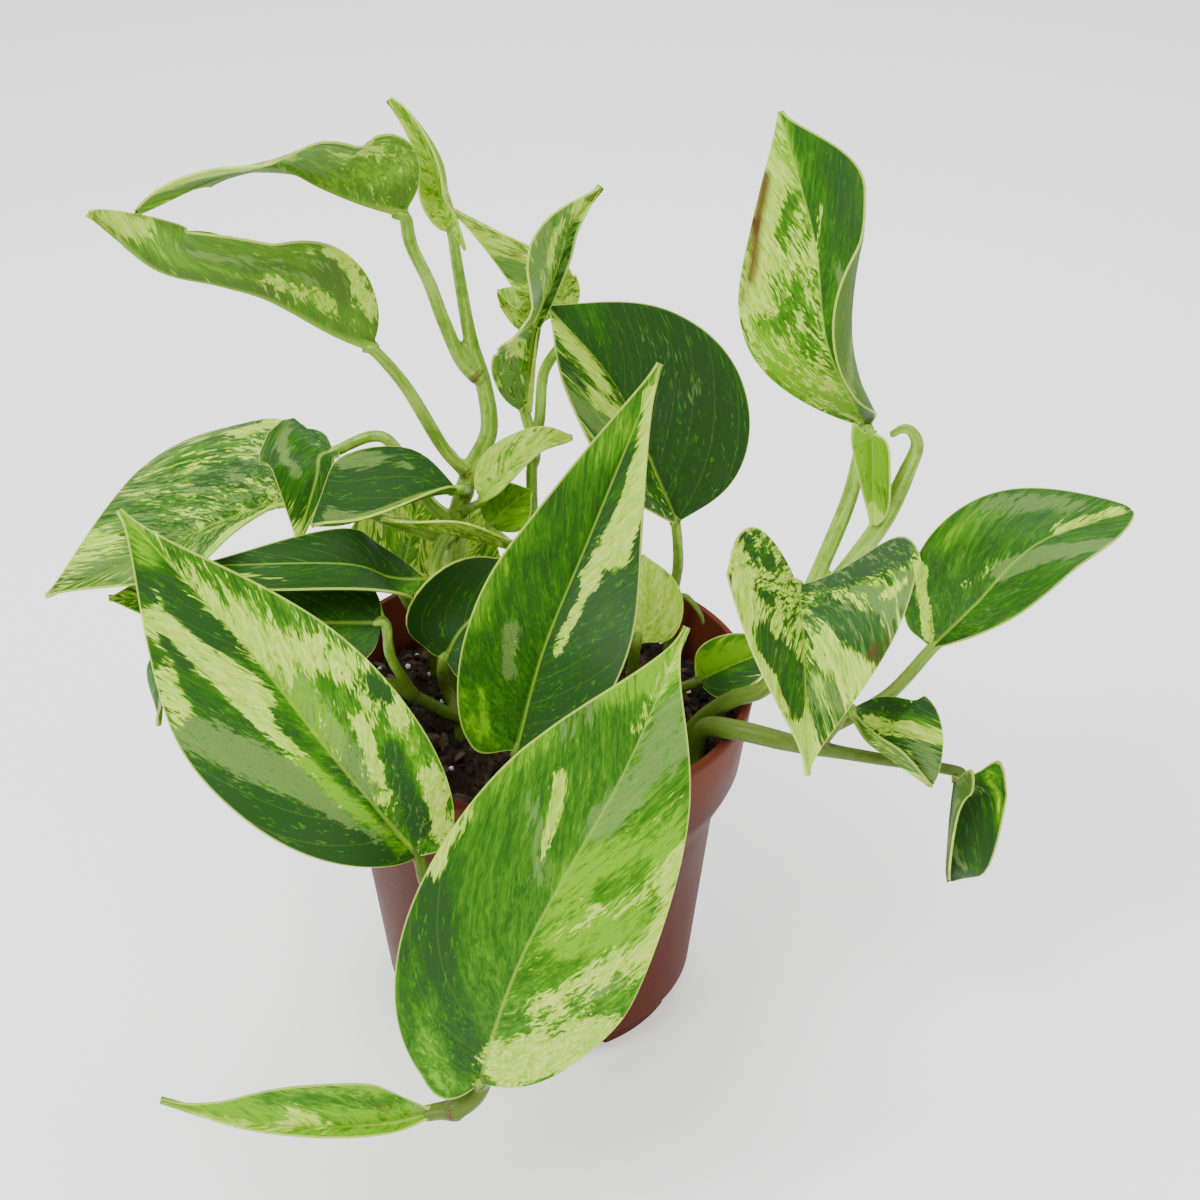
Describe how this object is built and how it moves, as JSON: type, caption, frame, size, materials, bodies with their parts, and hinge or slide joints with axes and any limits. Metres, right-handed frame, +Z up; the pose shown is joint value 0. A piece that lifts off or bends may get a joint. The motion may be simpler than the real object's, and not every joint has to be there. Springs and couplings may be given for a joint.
{
  "type": "potted houseplant",
  "caption": "Young marble queen pothos in a round nursery pot: heart-shaped cream and green marbled leaves on arching stalks, one stem trailing over the front rim.",
  "frame": {"origin": "middle of the pot's underside, at the level it stands on", "axes": "+Z up, -Y towards the viewer of the picture, +X to that viewer's right"},
  "size_m": [0.2806, 0.1742, 0.263],
  "materials": {
    "pot": "satin",
    "soil": "matte",
    "stem": "satin",
    "leaf_marbled": "satin",
    "leaf_dark": "satin",
    "leaf_pale": "satin",
    "leaf_young": "satin"
  },
  "bodies": {
    "root": {"pot": "pot", "soil": "soil", "vine_front": "stem", "vine_right": "stem", "vine_upright": "stem", "vine_back": "stem", "vine_tall": "stem", "vine_middle": "stem", "vine_back_left": "stem", "vine_inner": "stem", "vine_low_left": "stem", "leaf_front_low": "leaf_marbled", "leaf_front_left": "leaf_marbled", "leaf_front_centre": "leaf_marbled", "leaf_back_right": "leaf_dark", "leaf_right_tall": "leaf_marbled", "leaf_right_young": "leaf_young", "leaf_right_heart": "leaf_marbled", "leaf_right_far": "leaf_marbled", "leaf_right_small": "leaf_dark", "leaf_right_cupped": "leaf_dark", "leaf_rim_right": "leaf_marbled", "leaf_top_left": "leaf_marbled", "leaf_upper_left": "leaf_marbled", "leaf_top_rolled": "leaf_young", "leaf_low_rolled": "leaf_young", "leaf_behind_twisted": "leaf_pale", "leaf_twisted": "leaf_marbled", "leaf_centre_pale": "leaf_pale", "leaf_left_large": "leaf_marbled", "leaf_left_folded": "leaf_marbled", "leaf_centre_left": "leaf_dark", "leaf_left_dark": "leaf_dark", "leaf_left_under": "leaf_dark", "leaf_centre_cupped": "leaf_dark", "leaf_back_pale_left": "leaf_pale", "leaf_back_pale_right": "leaf_pale", "leaf_centre_edge": "leaf_pale", "leaf_pot_pale": "leaf_pale", "leaf_left_tip": "leaf_pale", "leaf_left_hanging": "leaf_dark", "leaf_back_bright": "leaf_young"}
  },
  "joints": []
}
